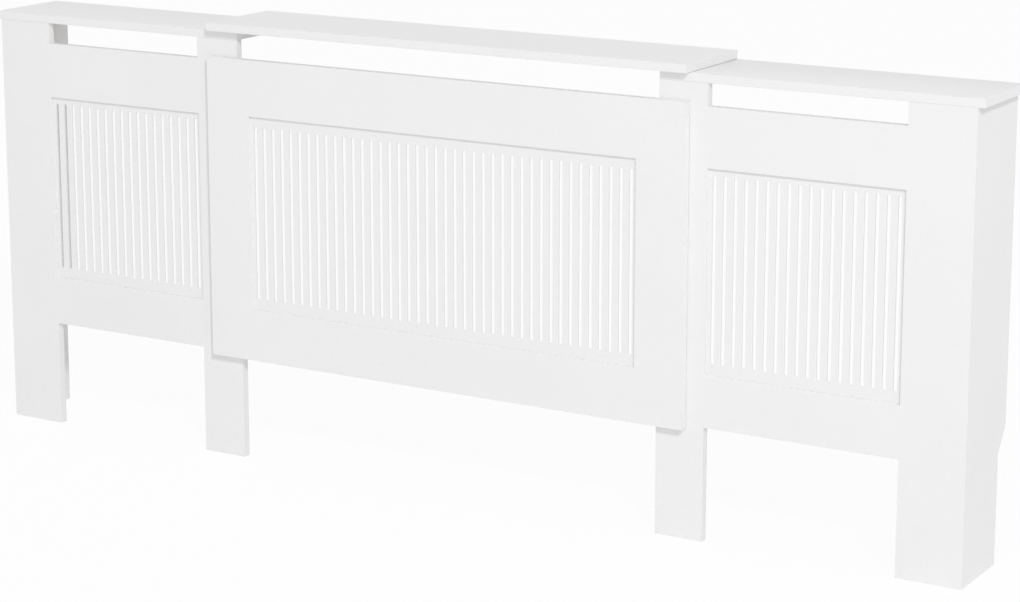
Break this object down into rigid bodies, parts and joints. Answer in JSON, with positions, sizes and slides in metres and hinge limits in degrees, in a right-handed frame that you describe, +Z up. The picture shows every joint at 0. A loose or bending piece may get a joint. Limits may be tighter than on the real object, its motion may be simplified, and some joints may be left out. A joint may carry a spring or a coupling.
{
  "type": "extendable radiator cover",
  "caption": "Extendable radiator cover: a slotted front panel and raised shelf in the middle, and slotted end sections on legs that slide out sideways from behind it.",
  "frame": {"origin": "on the floor, under the middle of the cover's overall box", "axes": "+X along the width, to the right as seen from the room; +Y back to the wall; +Z up"},
  "size_m": [2, 0.19, 0.815],
  "materials": {
    "painted_board": "satin white paint on fibreboard",
    "grille_board": "satin white paint on thin fibreboard",
    "batten_wood": "planed softwood",
    "track_aluminium": "extruded, mill finish",
    "zinc_steel": "bright zinc plate"
  },
  "bodies": {
    "centre_section": {"centre_front_panel": "painted_board", "centre_shelf": "painted_board", "centre_grille": "grille_board", "centre_grille_bead_bottom": "painted_board", "centre_grille_bead_top": "painted_board", "centre_grille_bead_left": "painted_board", "centre_grille_bead_right": "painted_board", "upper_panel_track": "track_aluminium", "lower_panel_track": "track_aluminium", "shelf_track": "track_aluminium"},
    "left_section": {"left_front_panel": "painted_board", "left_side_panel": "painted_board", "left_shelf": "painted_board", "left_grille": "grille_board", "left_grille_bead_bottom": "painted_board", "left_grille_bead_top": "painted_board", "left_grille_bead_left": "painted_board", "left_grille_bead_right": "painted_board", "left_corner_batten": "batten_wood", "left_shelf_side_batten": "batten_wood", "left_shelf_front_batten": "batten_wood", "left_stile_bracket": "zinc_steel", "left_wall_bracket": "zinc_steel", "left_upper_clamp_bolt": "zinc_steel", "left_upper_clamp_washer": "zinc_steel", "left_upper_wing_nut": "zinc_steel", "left_lower_clamp_bolt": "zinc_steel", "left_lower_clamp_washer": "zinc_steel", "left_lower_wing_nut": "zinc_steel", "left_shelf_clamp_bolt": "zinc_steel", "left_shelf_clamp_washer": "zinc_steel", "left_shelf_wing_nut": "zinc_steel"},
    "right_section": {"right_front_panel": "painted_board", "right_side_panel": "painted_board", "right_shelf": "painted_board", "right_grille": "grille_board", "right_grille_bead_bottom": "painted_board", "right_grille_bead_top": "painted_board", "right_grille_bead_left": "painted_board", "right_grille_bead_right": "painted_board", "right_corner_batten": "batten_wood", "right_shelf_side_batten": "batten_wood", "right_shelf_front_batten": "batten_wood", "right_stile_bracket": "zinc_steel", "right_wall_bracket": "zinc_steel", "right_upper_clamp_bolt": "zinc_steel", "right_upper_clamp_washer": "zinc_steel", "right_upper_wing_nut": "zinc_steel", "right_lower_clamp_bolt": "zinc_steel", "right_lower_clamp_washer": "zinc_steel", "right_lower_wing_nut": "zinc_steel", "right_shelf_clamp_bolt": "zinc_steel", "right_shelf_clamp_washer": "zinc_steel", "right_shelf_wing_nut": "zinc_steel"}
  },
  "joints": [
    {"name": "left_slide", "type": "slide", "parent": "centre_section", "child": "left_section", "axis": [1, 0, 0], "range_m": [0, 0.3]},
    {"name": "right_slide", "type": "slide", "parent": "centre_section", "child": "right_section", "axis": [-1, 0, 0], "range_m": [0, 0.3]}
  ]
}
